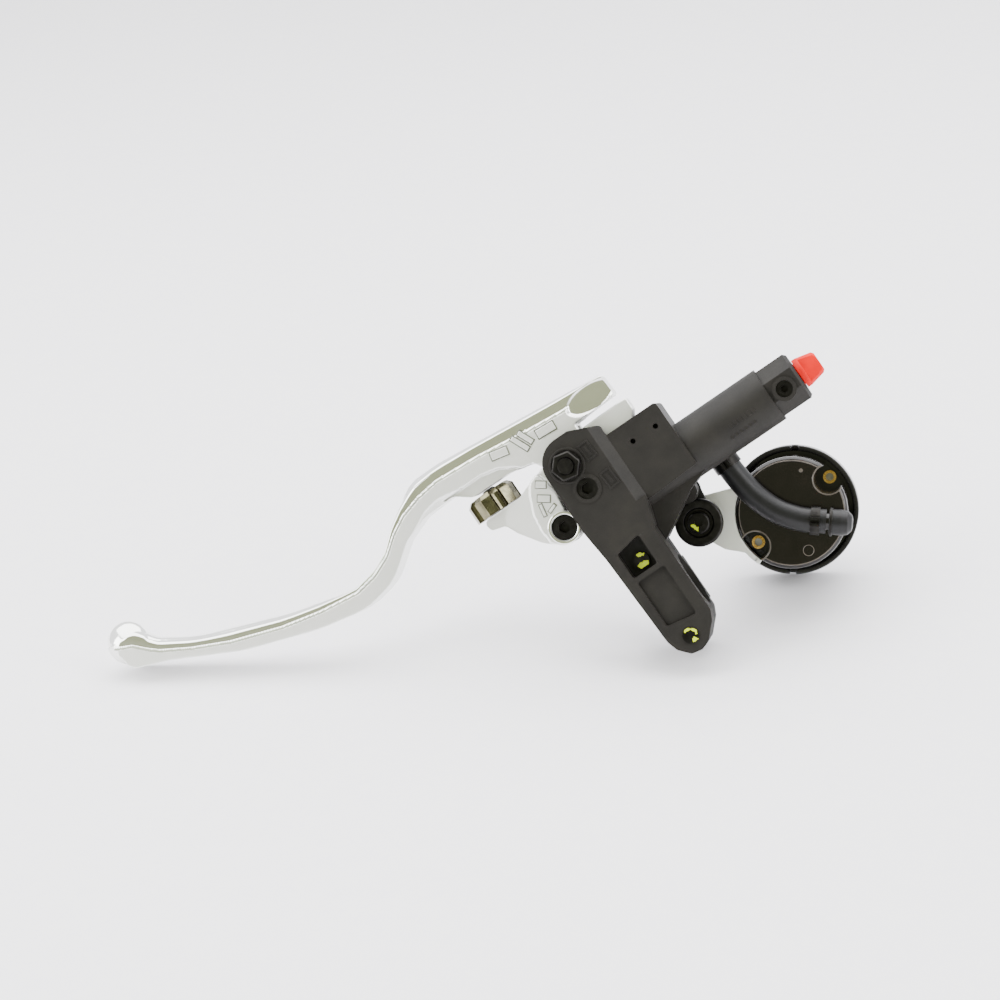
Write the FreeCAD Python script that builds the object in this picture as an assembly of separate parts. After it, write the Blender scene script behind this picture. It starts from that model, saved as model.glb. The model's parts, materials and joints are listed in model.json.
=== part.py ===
import FreeCAD, Part
import math
import os

# Hydraulic brake master cylinder with hand lever, handlebar clamp and remote reservoir.
#
# Everything is drawn in the bar frame, in millimetres: x runs along the handlebar
# towards the fluid outlet, y runs from the underside towards the reservoir lid, and
# z runs from the handlebar forwards to the lever. The origin is the centre of the
# handlebar clamp bore. The last step, on_bench, turns the whole assembly about that
# origin into the pose in which it lies on a bench, +Z up, and writes it out.

V = FreeCAD.Vector

# ---- pose on the bench ----
bench_tilt = 32.2        # bar axis above the bench, degrees, about the depth axis
bench_lean = 22.2        # then leaned back onto the reservoir lid, degrees

# ---- fits and clearances ----
running = 0.05           # radial clearance of a turning or sliding fit
side_gap = 0.3           # gap between faces of different moving pieces
thread_gap = 0.04        # radial gap drawn between a screw and its hole
hose_fit = 0.05          # radial gap drawn between hose bore and spigot

# ---- handlebar clamp ----
bar_radius = 11.1        # 22.2 mm handlebar
clamp_left = -10.3
clamp_right = 11.6
clamp_depth = 15.0       # half thickness of the clamp, bar centre to outer face
clamp_split = 0.5        # half the gap between body and cap
clamp_screw_z = 16.6     # screw places either side of the bar
clamp_end = 23.3         # rounded end of the clamp below the bar
cap_top = 23.6           # end of the clamp cap next to the lever
cap_shoulder = 5.0       # step down to the screw seats on the cap
screw_radius = 3.0       # M6
screw_head_radius = 5.0
screw_head_height = 5.6

# ---- body casting ----
ear_gap = 9.3            # half the slot in which the lever turns
ear_face = 15.0          # outer faces of the two ears
ear_radius = 10.7        # round end of an ear about the pivot
ear_right = 15.6
neck_top = 32.0          # floor of the lever slot
block_right = 37.7
block_top = 62.7
block_depth = 12.0
barrel_radius = 11.0
barrel_z = 41.1          # barrel axis ahead of the bar
barrel_mouth = 0.0
head_start = 74.0
barrel_end = 87.0
head_flats = 19.4        # across the flats of the outlet end
edge_bevel = 4.2         # width of the bevel between the front ear and the switch block
blank_x = -1.1           # blanked threaded hole in the front ear
blank_z = 50.2
blank_radius = 4.0
port_x = 79.9            # side port in the outlet end
port_z = 39.6
port_radius = 3.15
switch_holes = [(22.7, 55.2), (32.8, 55.1)]
switch_hole_radius = 1.0
switch_hole_depth = 4.5

# ---- lever ----
pivot_x = -2.6
pivot_z = 61.4
pivot_radius = 4.0       # shank of the pivot bolt
pivot_thread_radius = 3.0
hub_radius = 9.6
cheek_inner = 5.1        # slot in the blade for the carrier hub
lever_half_depth = 8.0
tip_x = -184.6
tip_z = 101.6
tip_radius = 8.3
bend_x = -97.0           # where the finger stretch of the lever begins
bend_z = 68.6
lever_travel = 20.0      # degrees of lever travel that the slot leaves room for

# ---- trunnion and pushrod ----
trunnion_x = -17.3
trunnion_z = 43.1
trunnion_radius = 4.8
boss_radius = 6.4
carrier_half_depth = 8.0
rod_radius = 2.5
rod_length = 28.0        # trunnion axis to centre of the ball end
ball_radius = 3.0

# ---- cylinder inside ----
bore_radius = 8.0
bore_end = 66.0
piston_start = 5.5
piston_end = 42.0
seal_width = 3.0
piston_stroke = 7.2
circlip_x = 4.0
circlip_width = 1.1
outlet_radius = 4.5      # M10 x 1 outlet, drawn at its core size
inlet_x = 45.0

# ---- reach adjuster ----
wheel_x = -34.4
wheel_z = 62.3           # underside of the wheel
wheel_radius = 10.3
wheel_height = 8.4
wheel_teeth = 5
wheel_notch = 3.3
spindle_radius = 3.0
spindle_top = 71.6
spindle_length = 14.1
shoulder_gap = 0.4       # wheel to the carrier shoulder under it

# ---- reservoir ----
pot_x = 54.2
pot_z = -0.6
pot_bottom = 27.0        # outer bottom face of the pot, from the bar centre
pot_radius = 21.6
pot_height = 37.0
pot_wall = 2.0
lid_overlap = 3.8        # how far the lid skirt stands out past the pot
lid_radius = pot_radius + lid_overlap
lid_skirt = 14.0
lid_thickness = 3.0
column_angle = 8.5       # direction of the lid screw columns about the pot axis
column_reach = 19.0      # lid screw distance from the pot axis
column_radius = 5.4

# ---- hose ----
hose_radius = 4.75
hose_bore = 3.35
hose_y = 20.0
spigot_radius = 4.3
hose_route = [(44.6, 33.0), (45.0, 23.5), (46.4, 12.8), (50.2, 2.8), (56.4, -5.0), (63.6, -10.6)]

# ---- reservoir bracket ----
eye_x = 23.6
eye_z = 16.2
eye_radius = 9.3
arm_x = 26.6
arm_z = 28.8
arm_y = 18.2             # front face of the bracket arm
arm_thickness = 2.5
washer_thickness = 4.0
strap_y = 28.4
strap_thickness = 2.0
strap_screw_angle = 153.0


# ---------------------------------------------------------------- helpers

def along_y(x, z, radius, y0, y1):
    """Round bar parallel to y."""
    return Part.makeCylinder(radius, y1 - y0, V(x, y0, z), V(0, 1, 0))


def along_x(y, z, radius, x0, x1):
    """Round bar parallel to x."""
    return Part.makeCylinder(radius, x1 - x0, V(x0, y, z), V(1, 0, 0))


def block(x0, x1, y0, y1, z0, z1):
    return Part.makeBox(x1 - x0, y1 - y0, z1 - z0, V(x0, y0, z0))


def corner(before, here, after, radius):
    """Start, middle and end of the tangent arc that rounds one corner of an outline."""
    a = (before - here).normalize()
    b = (after - here).normalize()
    half = math.acos(max(-1.0, min(1.0, a.dot(b)))) / 2
    run = radius / math.tan(half)
    middle = (a + b).normalize() * (radius / math.sin(half) - radius)
    return here + a * run, here + middle, here + b * run


def outline(points, y=0.0):
    """Closed wire in the x-z plane. A point is (x, z) or (x, z, corner radius)."""
    places = [V(p[0], y, p[1]) for p in points]
    rounds = [p[2] if len(p) > 2 else 0.0 for p in points]
    count = len(places)
    corners = []
    for i in range(count):
        if rounds[i] > 0:
            corners.append(corner(places[i - 1], places[i], places[(i + 1) % count], rounds[i]))
        else:
            corners.append((places[i],))
    edges = []
    for i in range(count):
        here = corners[i]
        if len(here) == 3:
            edges.append(Part.Arc(here[0], here[1], here[2]).toShape())
        following = corners[(i + 1) % count][0]
        if (following - here[-1]).Length > 1e-6:
            edges.append(Part.LineSegment(here[-1], following).toShape())
    return Part.Wire(edges)


def plate(points, y0, y1):
    """Flat piece with the given outline, from depth y0 to y1."""
    return Part.Face(outline(points, y0)).extrude(V(0, y1 - y0, 0))


def polygon_bar(sides, flats, start, direction, length, turn=0.0):
    """Hexagonal, octagonal, ... bar that starts at a point and follows a direction."""
    radius = flats / 2 / math.cos(math.pi / sides)
    turns = [math.radians(turn) + 2 * math.pi * i / sides for i in range(sides)]
    ring = [V(radius * math.cos(t), radius * math.sin(t), 0) for t in turns]
    bar = Part.Face(Part.makePolygon(ring + [ring[0]])).extrude(V(0, 0, length))
    bar.Placement = FreeCAD.Placement(start, FreeCAD.Rotation(V(0, 0, 1), direction))
    return bar


def socket_y(x, z, flats, depth, y_open, inward):
    """Hexagon socket sunk from y_open; inward is +1 or -1 along y."""
    start = V(x, y_open - 0.5 * inward, z)
    return polygon_bar(6, flats, start, V(0, inward, 0), depth + 0.5)


def turned(profile, origin, direction):
    """Solid of revolution from (distance along, radius) pairs."""
    places = [V(r, 0, a) for a, r in profile]
    wire = Part.makePolygon(places + [places[0]])
    solid = Part.Face(wire).revolve(V(0, 0, 0), V(0, 0, 1), 360)
    solid.Placement = FreeCAD.Placement(origin, FreeCAD.Rotation(V(0, 0, 1), direction))
    return solid


def cap_screw(x, z, head_y, tip_y, radius, head_radius, head_height, socket):
    """Socket head screw along y: head beyond head_y, threaded end at tip_y."""
    side = 1 if head_y > tip_y else -1
    low, high = sorted((head_y, tip_y))
    shank = along_y(x, z, radius, low, high)
    top = head_y + side * head_height
    head = along_y(x, z, head_radius, min(head_y, top), max(head_y, top))
    edge = [e for e in head.Edges if abs(e.CenterOfMass.y - top) < 0.01 and len(e.Vertexes) == 1]
    head = head.makeChamfer(0.5, edge)
    return shank.fuse(head).removeSplitter().cut(socket_y(x, z, socket, head_height * 0.55, top, -side))


def joined(*pieces):
    """One clean solid from overlapping pieces."""
    return pieces[0].fuse(list(pieces[1:])).removeSplitter()


def tangent_path(points):
    """Straight runs joined by the largest tangent arcs that they have room for."""
    radii = []
    for i in range(1, len(points) - 1):
        a = points[i - 1] - points[i]
        b = points[i + 1] - points[i]
        turn = math.pi - a.getAngle(b)
        radii.append(0.45 * min(a.Length, b.Length) / math.tan(turn / 2))
    edges = []
    last = points[0]
    for i, radius in enumerate(radii):
        start, middle, end = corner(points[i], points[i + 1], points[i + 2], radius)
        edges.append(Part.LineSegment(last, start).toShape())
        edges.append(Part.Arc(start, middle, end).toShape())
        last = end
    edges.append(Part.LineSegment(last, points[-1]).toShape())
    return Part.Wire(edges), radii


# ---------------------------------------------------------------- body casting

def ear_outline():
    left = clamp_left - 1.3
    return [
        (left, pivot_z + ear_radius, ear_radius * 0.98), (4.6, pivot_z + ear_radius, 3.0),
        (ear_right, block_top + 4.6, 2.0), (ear_right, barrel_z), (clamp_right + 0.4, 24.5),
        (clamp_left, 24.5), (left, 37.0, 5.0),
    ]


def clamp_outline():
    return [
        (clamp_left, 25.5), (clamp_right, 25.5), (clamp_right, -12.6, 3.0), (9.8, -16.4, 2.0),
        (4.2, -22.2, 3.0), (0.8, -clamp_end, 2.0), (-3.4, -22.6, 2.0), (-7.2, -18.4, 3.0),
        (-8.6, -14.0, 6.0),
    ]


def ear(y0, y1):
    return plate(ear_outline(), y0, y1)


def barrel():
    tube = along_x(0, barrel_z, barrel_radius, barrel_mouth, head_start)
    octagon = polygon_bar(8, head_flats, V(head_start, 0, barrel_z), V(1, 0, 0),
                          barrel_end - head_start, 22.5)
    octagon = octagon.makeChamfer(1.0, [e for e in octagon.Edges
                                        if abs(e.CenterOfMass.x - barrel_end) < 0.01])
    step = [(head_start - 2.5, 0), (head_start - 2.5, barrel_radius), (head_start, barrel_radius - 1.2),
            (head_start, 0)]
    collar = turned(step, V(0, 0, barrel_z), V(1, 0, 0))
    return joined(tube, octagon, collar)


def body_web():
    """Solid metal that ties ears, barrel, switch block and clamp together."""
    neck = plate([(clamp_left, 24.5), (clamp_right + 0.4, 24.5), (ear_right, 36.0), (ear_right, 44.0),
                  (barrel_mouth, 44.0), (barrel_mouth, neck_top), (clamp_left - 0.8, neck_top)],
                 -ear_face, ear_face - 3.5)
    shoulder = block(hub_radius + 1.0, ear_right, -ear_gap, ear_gap, barrel_z, block_top)
    under_pivot = block(barrel_mouth, ear_right, -ear_gap, ear_gap, 34.0, 50.0)
    switch_block = plate([(ear_right - 1, 34.0), (block_right, barrel_z - 6.0), (block_right, block_top, 1.5),
                          (ear_right - 1, block_top)], -block_depth, block_depth)
    gusset = plate([(clamp_right - 1.0, 17.2), (30.2, 28.6, 3.0), (38.5, 31.5), (38.5, barrel_z),
                    (clamp_right - 1.0, barrel_z)], -clamp_split - 5.0, 9.0)
    return [neck, shoulder, under_pivot, switch_block, gusset]


def body_bosses():
    arm_boss = along_y(arm_x, arm_z, 4.6, 5.0, arm_y)
    inlet_boss = along_y(inlet_x, barrel_z, 6.2, 0.0, barrel_radius + 2.5)
    port_boss = along_y(port_x, port_z, port_radius + 1.5, -head_flats / 2 - 0.8, 0.0)
    plug_boss = along_y(blank_x, blank_z, blank_radius + 1.6, -ear_face - 0.4, -ear_gap)
    return [arm_boss, inlet_boss, port_boss, plug_boss]


def ear_bevel():
    """Wedge that bevels the front ear down to the face of the switch block."""
    corners = [V(ear_right - edge_bevel, -ear_face - 0.01, 0), V(ear_right + 0.1, -ear_face - 0.01, 0),
               V(ear_right + 0.1, -block_depth, 0)]
    wedge = Part.Face(Part.makePolygon(corners + [corners[0]])).extrude(V(0, 0, 40.0))
    wedge.translate(V(0, 0, barrel_z - 5.0))
    return wedge


def body_hollows():
    bar = along_x(0, 0, bar_radius, clamp_left - 5, clamp_right + 5)
    cap_side = block(clamp_left - 2, clamp_right + 0.6, -clamp_split, clamp_depth + 3,
                     -clamp_end - 1, cap_top + 0.6)
    slot = plate([(clamp_left - 8, neck_top), (barrel_mouth, neck_top), (barrel_mouth, 50.2),
                  (8.0, 50.2), (8.0, 90.0), (clamp_left - 8, 90.0)], -ear_gap, ear_gap)
    nose_slot = plate([(0.0, 57.0), (block_right - 2.4, 57.0, 1.5), (block_right - 2.4, 90.0), (0.0, 90.0)],
                      -cheek_inner - 0.4, cheek_inner + 0.4)
    window = plate([(-5.8, 12.6, 1.0), (5.0, 12.6, 1.0), (5.0, 25.4, 1.0), (-5.8, 23.4, 1.0)],
                   -clamp_depth - 1, -8.4)
    ramp = plate([(-5.4, -9.0, 1.0), (6.6, -11.0, 1.0), (6.6, 10.6, 1.0), (-5.4, 10.6, 1.0)],
                 -clamp_depth - 1, -clamp_depth + 1.6)
    holes = [
        along_y(0, clamp_screw_z, screw_radius + thread_gap, -20, 0),
        along_y(0, -clamp_screw_z, screw_radius + thread_gap, -20, 0),
        along_y(pivot_x, pivot_z, pivot_radius + running, -ear_gap - 1, 20),
        along_y(pivot_x, pivot_z, pivot_thread_radius + thread_gap, -20, 0),
        along_y(blank_x, blank_z, blank_radius + thread_gap, -20, -ear_gap + 0.01),
        along_x(0, barrel_z, bore_radius, barrel_mouth - 1, bore_end),
        along_x(0, barrel_z, bore_radius + 0.7, circlip_x, circlip_x + circlip_width),
        along_x(0, barrel_z, 1.5, bore_end - 1, barrel_end),
        along_x(0, barrel_z, outlet_radius, head_start, barrel_end + 1),
        along_y(inlet_x, barrel_z, 3.2, 0.0, 30.0),
        along_y(port_x, port_z, port_radius + thread_gap, -20.0, -4.0),
        along_y(arm_x, arm_z, 2.0 + thread_gap, 9.2, 30.0),
        along_y(eye_x, eye_z, eye_radius + side_gap, arm_y - washer_thickness - side_gap, 30.0),
    ]
    holes += [along_y(x, z, switch_hole_radius, -block_depth - 1, -block_depth + switch_hole_depth)
              for x, z in switch_holes]
    return [bar, cap_side, slot, nose_slot, window, ramp, ear_bevel()] + holes


def master_cylinder_body():
    ears = [ear(-ear_face, -ear_gap), ear(ear_gap, ear_face)]
    clamp_half = plate(clamp_outline(), -clamp_depth, -clamp_split)
    solid = joined(clamp_half, *ears, *body_web(), *body_bosses(), barrel())
    return solid.cut(body_hollows()).removeSplitter()


# ---------------------------------------------------------------- clamp and fixed fasteners

def clamp_cap():
    cap = plate([(clamp_left, cap_top, 3.0), (clamp_right, cap_top, 3.0), (clamp_right, -12.6, 3.0),
                 (9.8, -16.4, 2.0), (4.2, -22.2, 3.0), (-3.4, -22.6, 3.0), (-7.2, -18.4, 3.0),
                 (-8.6, -14.0, 6.0)], clamp_split, clamp_depth)
    cap = cap.cut([along_x(0, 0, bar_radius, clamp_left - 5, clamp_right + 5)])
    seat = clamp_depth - cap_shoulder
    inner = clamp_screw_z - screw_head_radius - 2.1
    shoulders = [block(clamp_left - 1, clamp_right + 1, seat, clamp_depth + 1, inner, cap_top + 1),
                 block(clamp_left - 1, clamp_right + 1, seat, clamp_depth + 1, -cap_top - 1, -inner)]
    holes = [along_y(0, z, screw_radius + 0.15, 0, 20) for z in (clamp_screw_z, -clamp_screw_z)]
    return cap.cut(shoulders + holes).removeSplitter()


def clamp_screws():
    seat = clamp_depth - cap_shoulder
    return [cap_screw(0, z, seat, tip, screw_radius, screw_head_radius, screw_head_height, 5.0)
            for z, tip in ((clamp_screw_z, -10.2), (-clamp_screw_z, -15.6))]


def pivot_bolt():
    shank = along_y(pivot_x, pivot_z, pivot_radius, -ear_gap - 1 + running, ear_face)
    thread = along_y(pivot_x, pivot_z, pivot_thread_radius, -21.2, 0)
    head = along_y(pivot_x, pivot_z, 6.5, ear_face, ear_face + 3.6)
    return joined(shank, thread, head).cut(socket_y(pivot_x, pivot_z, 5.0, 2.6, ear_face + 3.6, -1))


def pivot_nut():
    nut = polygon_bar(6, 10.0, V(pivot_x, -ear_face - 4.9, pivot_z), V(0, 1, 0), 4.9, 12.0)
    rim = [e for e in nut.Edges if abs(e.CenterOfMass.y + ear_face + 4.9) < 0.01]
    nut = nut.makeChamfer(0.5, rim)
    return nut.cut(along_y(pivot_x, pivot_z, pivot_thread_radius + thread_gap, -30, 0))


def pivot_bush():
    tube = along_y(pivot_x, pivot_z, pivot_radius + 1.0, -cheek_inner + 0.4, cheek_inner - 0.4)
    return tube.cut(along_y(pivot_x, pivot_z, pivot_radius + running, -10, 10))


def ear_plug_screw():
    screw = along_y(blank_x, blank_z, blank_radius, -ear_face + 0.4, -ear_gap - 0.6)
    return screw.cut(socket_y(blank_x, blank_z, blank_radius, 2.6, -ear_face + 0.4, 1))


def side_port_plug():
    top = -head_flats / 2 + 0.6
    screw = along_y(port_x, port_z, port_radius, top, -5.0)
    return screw.cut(socket_y(port_x, port_z, 2.6, 2.2, top, 1))


# ---------------------------------------------------------------- lever

def on_finger(share, height):
    """Point of the finger stretch: a share of the way from the bend to the tip, raised by a height."""
    return bend_x + share * (tip_x - bend_x), bend_z + share * (tip_z - bend_z) + height


def blade_outline():
    return [
        (25.8, 83.2, 1.5), (-44.0, 90.5, 40.0), (-57.5, 90.4, 14.0), (-72.0, 81.4, 30.0),
        (-84.0, 71.0, 22.0), (bend_x, bend_z, 30.0), (*on_finger(0.31, -3.6), 90.0),
        (*on_finger(0.72, -4.0), 60.0), (*on_finger(0.87, -0.7), 8.0), (*on_finger(0.95, 6.0), 4.0),
        (*on_finger(1.05, -2.3), 4.0), (*on_finger(1.03, -10.8), 5.0), (*on_finger(0.87, -10.7), 30.0),
        (*on_finger(0.565, -13.9), 60.0), (*on_finger(0.23, -12.6), 70.0), (bend_x, bend_z - 9.0, 30.0),
        (-83.0, 62.6, 20.0), (-70.0, 72.2, 10.0), (-60.0, 75.9, 6.0), (-46.0, 76.6, 4.0),
        (-40.0, 72.0, 3.0), (-24.0, 72.0, 8.0), (-13.0, 69.5, 4.0),
        (-9.0, 62.0), (6.8, 62.0), (10.4, 73.2, 2.0), (26.4, 73.8, 1.5),
    ]


def lever_blade():
    blade = plate(blade_outline(), -lever_half_depth, lever_half_depth)
    tip = Part.makeSphere(tip_radius, V(tip_x, 0, tip_z))
    hub = along_y(pivot_x, pivot_z, hub_radius, -ear_gap + side_gap, ear_gap - side_gap)
    hub = hub.common(block(-30, 30, -20, 20, 40, 90))
    solid = joined(blade, tip, hub)
    slot = plate([(-21.0, 40.0), (-21.0, 71.9), (10.3, 71.9), (10.3, 40.0)],
                 -cheek_inner, cheek_inner)
    fan_relief = plate([(-40.0, 40.0), (-40.0, 69.0), (-12.9, 69.0), (-12.9, 40.0)], -20, 20)
    nose_relief = plate([(8.0, 60.0), (8.0, 73.0), (32.0, 72.6), (32.0, 60.0)], -20, 20)
    hole = along_y(pivot_x, pivot_z, pivot_radius + running, -20, 20)
    return solid.cut([slot, fan_relief, nose_relief, hole]).removeSplitter()


def lever_carrier():
    hub = along_y(pivot_x, pivot_z, hub_radius, -cheek_inner + side_gap, cheek_inner - side_gap)
    web = plate([(pivot_x, pivot_z + 8.0), (-20.0, 64.0), (-26.0, 56.0), (-18.0, 47.0), (-10.0, 52.4)],
                -cheek_inner + side_gap, cheek_inner - side_gap)
    nose = plate([(pivot_x, pivot_z + 8.6), (18.0, 70.6, 2.0), (29.0, 70.6, 1.0), (29.0, 65.6, 1.0),
                  (26.0, 61.2, 1.5), (20.0, 61.2, 1.5), (pivot_x, pivot_z - 4.0)],
                 -cheek_inner + side_gap, cheek_inner - side_gap)
    shoulder = wheel_z - shoulder_gap
    fan = plate([(-14.9, 65.8, 1.0), (-25.0, shoulder, 6.0), (-42.0, shoulder, 2.0), (-41.0, 57.5, 2.0),
                 (-35.6, 56.0, 2.0), (-33.2, 51.0, 8.0), (-27.3, 42.6, 8.0), (-20.6, 37.0, 3.0),
                 (trunnion_x + 4.0, 39.0), (trunnion_x + 4.0, 49.0), (-12.4, 55.4)],
                -carrier_half_depth, carrier_half_depth)
    boss = along_y(trunnion_x, trunnion_z, boss_radius, -carrier_half_depth, carrier_half_depth)
    solid = joined(hub, web, nose, fan, boss)
    round_cheeks = [along_y(pivot_x, pivot_z, hub_radius + 0.6, cheek_inner - side_gap, 20),
                    along_y(pivot_x, pivot_z, hub_radius + 0.6, -20, -cheek_inner + side_gap)]
    cross = along_y(trunnion_x, trunnion_z, trunnion_radius + running, -20, 20)
    rod_slot = block(trunnion_x, 0.0, -5.4, 5.4, trunnion_z - 9.0, trunnion_z + 8.0)
    bush_seat = along_y(pivot_x, pivot_z, pivot_radius + 1.0 + 0.001, -20, 20)
    spindle_hole = Part.makeCylinder(spindle_radius + running, 30, V(wheel_x, 0, 50.0), V(0, 0, 1))
    return solid.cut(round_cheeks + [cross, rod_slot, bush_seat, spindle_hole]).removeSplitter()


def adjuster_wheel():
    wheel = Part.makeCylinder(wheel_radius, wheel_height, V(wheel_x, 0, wheel_z), V(0, 0, 1))
    notches = []
    for i in range(wheel_teeth):
        turn = 2 * math.pi * i / wheel_teeth
        reach = wheel_radius + 0.3 * wheel_notch
        place = V(wheel_x + reach * math.cos(turn), reach * math.sin(turn), wheel_z - 1)
        notches.append(Part.makeCylinder(wheel_notch, wheel_height + 2, place, V(0, 0, 1)))
    bore = Part.makeCylinder(spindle_radius + running, 30, V(wheel_x, 0, wheel_z - 5), V(0, 0, 1))
    return wheel.cut(notches + [bore])


def adjuster_spindle():
    rod = Part.makeCylinder(spindle_radius, spindle_length, V(wheel_x, 0, spindle_top - spindle_length))
    rim = [e for e in rod.Edges if abs(e.CenterOfMass.z - spindle_top) < 0.01]
    return rod.makeChamfer(0.8, rim)


def trunnion_pin():
    reach = carrier_half_depth - 0.3
    pin = along_y(trunnion_x, trunnion_z, trunnion_radius, -reach, reach)
    pin = pin.cut(rod_cylinder(rod_radius + thread_gap, -4.0, 8.0))
    return pin.cut([socket_y(trunnion_x, trunnion_z, 4.0, 3.0, -reach, 1),
                    socket_y(trunnion_x, trunnion_z, 4.0, 3.0, reach, -1)])


def rod_direction():
    drop = trunnion_z - barrel_z
    return V(math.sqrt(rod_length ** 2 - drop ** 2), 0, -drop).normalize()


def rod_cylinder(radius, start, end):
    way = rod_direction()
    return Part.makeCylinder(radius, end - start, V(trunnion_x, 0, trunnion_z) + way * start, way)


def pushrod():
    centre = V(trunnion_x, 0, trunnion_z) + rod_direction() * rod_length
    return joined(rod_cylinder(rod_radius, -3.6, rod_length), Part.makeSphere(ball_radius, centre))


def pushrod_nut():
    way = rod_direction()
    start = V(trunnion_x, 0, trunnion_z) + way * (boss_radius + 0.4)
    nut = polygon_bar(6, 8.0, start, way, 2.3)
    return nut.cut(rod_cylinder(rod_radius + thread_gap, 0, 20))


# ---------------------------------------------------------------- cylinder internals

def piston():
    fit = bore_radius - running
    groove = 5.0
    profile = [
        (piston_start, 0), (piston_start, fit), (11.0, fit), (11.0, groove), (11.0 + seal_width, groove),
        (11.0 + seal_width, fit), (16.0, fit), (18.0, groove), (33.0, groove), (34.5, fit),
        (36.0, fit), (36.0, groove), (36.0 + seal_width, groove), (36.0 + seal_width, fit - 1.0),
        (piston_end, fit - 1.0), (piston_end, 0),
    ]
    solid = turned(profile, V(0, 0, barrel_z), V(1, 0, 0))
    cup_bottom = trunnion_x + rod_length + ball_radius + 0.3
    cup = turned([(piston_start - 1, 0), (piston_start - 1, 4.6), (cup_bottom - 2, 4.2), (cup_bottom, 2.0),
                  (cup_bottom, 0)], V(0, 0, barrel_z), V(1, 0, 0))
    return solid.cut(cup)


def seal(start):
    outer = bore_radius - 0.03
    profile = [(start, 5.0), (start, outer - 0.5), (start + 0.6, outer), (start + 1.4, outer - 0.4),
               (start + 2.2, outer), (start + seal_width, outer - 0.5), (start + seal_width, 5.0)]
    return turned(profile, V(0, 0, barrel_z), V(1, 0, 0))


def secondary_seal():
    return seal(11.0)


def primary_seal():
    return seal(36.0)


def piston_spring():
    wire = 0.7
    length = bore_end - piston_stroke - piston_end - 0.8
    coil = bore_radius - 2.0
    turns = 4.0
    helix = Part.makeHelix(length / turns - 0.3, length - 2 * wire, coil)
    section = Part.Wire(Part.makeCircle(wire, V(coil, 0, 0), V(0, 1, 0)))
    spring = Part.Wire(helix.Edges).makePipeShell([section], True, True)
    spring.Placement = FreeCAD.Placement(V(piston_end + wire + 0.05, 0, barrel_z),
                                         FreeCAD.Rotation(V(0, 0, 1), V(1, 0, 0)))
    return spring


def circlip():
    ring = along_x(0, barrel_z, bore_radius + 0.65, circlip_x + 0.05, circlip_x + circlip_width - 0.05)
    gap = block(circlip_x - 1, circlip_x + 3, -2.2, 2.2, barrel_z, barrel_z + 12)
    return ring.cut([along_x(0, barrel_z, 6.6, 0, 10), gap])


def dust_boot():
    outer = bore_radius - 0.1
    profile = [(0.6, 5.2), (0.6, 6.6), (1.4, outer), (3.6, outer), (3.6, 6.4), (2.0, 6.0), (1.4, 5.2)]
    return turned(profile, V(0, 0, barrel_z), V(1, 0, 0))


def outlet_plug():
    stem = outlet_radius - running
    profile = [(-9.0, 0), (-9.0, outlet_radius - 0.6), (-8.0, stem), (0.4, stem), (0.4, 5.9), (2.0, 5.9),
               (8.2, 4.5), (9.0, 3.6), (9.0, 0)]
    plug = turned(profile, V(barrel_end, 0, barrel_z), V(1, 0, 0))
    grips = [block(barrel_end + 2.6, barrel_end + 10, y, y + 3, barrel_z - 8, barrel_z + 8)
             for y in (-6.2, 3.2)]
    return plug.cut(grips)


# ---------------------------------------------------------------- fluid feed

def inlet_elbow():
    foot = along_y(inlet_x, barrel_z, 5.4, barrel_radius + 2.5 + 0.02, hose_y + 3.6)
    stem = along_y(inlet_x, barrel_z, 3.1, barrel_radius - 2.0, barrel_radius + 4.0)
    start = hose_points()[0]
    way = (hose_points()[1] - start).normalize()
    length = barrel_z - start.z + 8.0
    spigot = Part.makeCylinder(hose_bore - hose_fit, length, start + way * 8.0, way * -1)
    solid = joined(foot, stem, spigot)
    return solid.cut(along_y(inlet_x, barrel_z, 1.6, 0, hose_y))


def hose_points():
    return [V(x, hose_y, z) for x, z in hose_route]


def reservoir_hose():
    path, radii = tangent_path(hose_points())
    start = hose_points()[0]
    way = (hose_points()[1] - start).normalize()
    tube = []
    for radius in (hose_radius, hose_bore):
        ring = Part.Wire(Part.makeCircle(radius, start, way))
        tube.append(path.makePipeShell([ring], True, False))
    solid = tube[0].cut(tube[1])
    expected = math.pi * (hose_radius ** 2 - hose_bore ** 2) * path.Length
    print("hose length %.1f mm, arc radii %s" % (path.Length, [round(r, 1) for r in radii]))
    print("hose volume %.0f, section times length %.0f" % (solid.Volume, expected))
    return solid


def hose_clips():
    points = hose_points()
    ends = [(points[0], (points[1] - points[0]).normalize()),
            (points[-1], (points[-2] - points[-1]).normalize())]
    clips = []
    for place, way in ends:
        start = place + way * 2.4
        outer = Part.makeCylinder(hose_radius + 0.75, 3.6, start, way)
        ring = outer.cut(Part.makeCylinder(hose_radius + 0.05, 5, start - way * 0.5, way))
        for side in (-1, 1):
            lug = Part.makeBox(1.0, 3.0, 3.6, V(-0.5 + side * 1.1, -hose_radius - 3.4, 0))
            along_hose = FreeCAD.Placement(start, FreeCAD.Rotation(V(0, 0, 1), way))
            lug.Placement = along_hose.multiply(lug.Placement)
            ring = ring.fuse(lug)
        clips.append(ring.removeSplitter())
    return clips


# ---------------------------------------------------------------- reservoir

def column_places():
    places = []
    for turn in (column_angle, column_angle + 180):
        t = math.radians(turn)
        places.append((pot_x + column_reach * math.cos(t), pot_z + column_reach * math.sin(t)))
    return places


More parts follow.
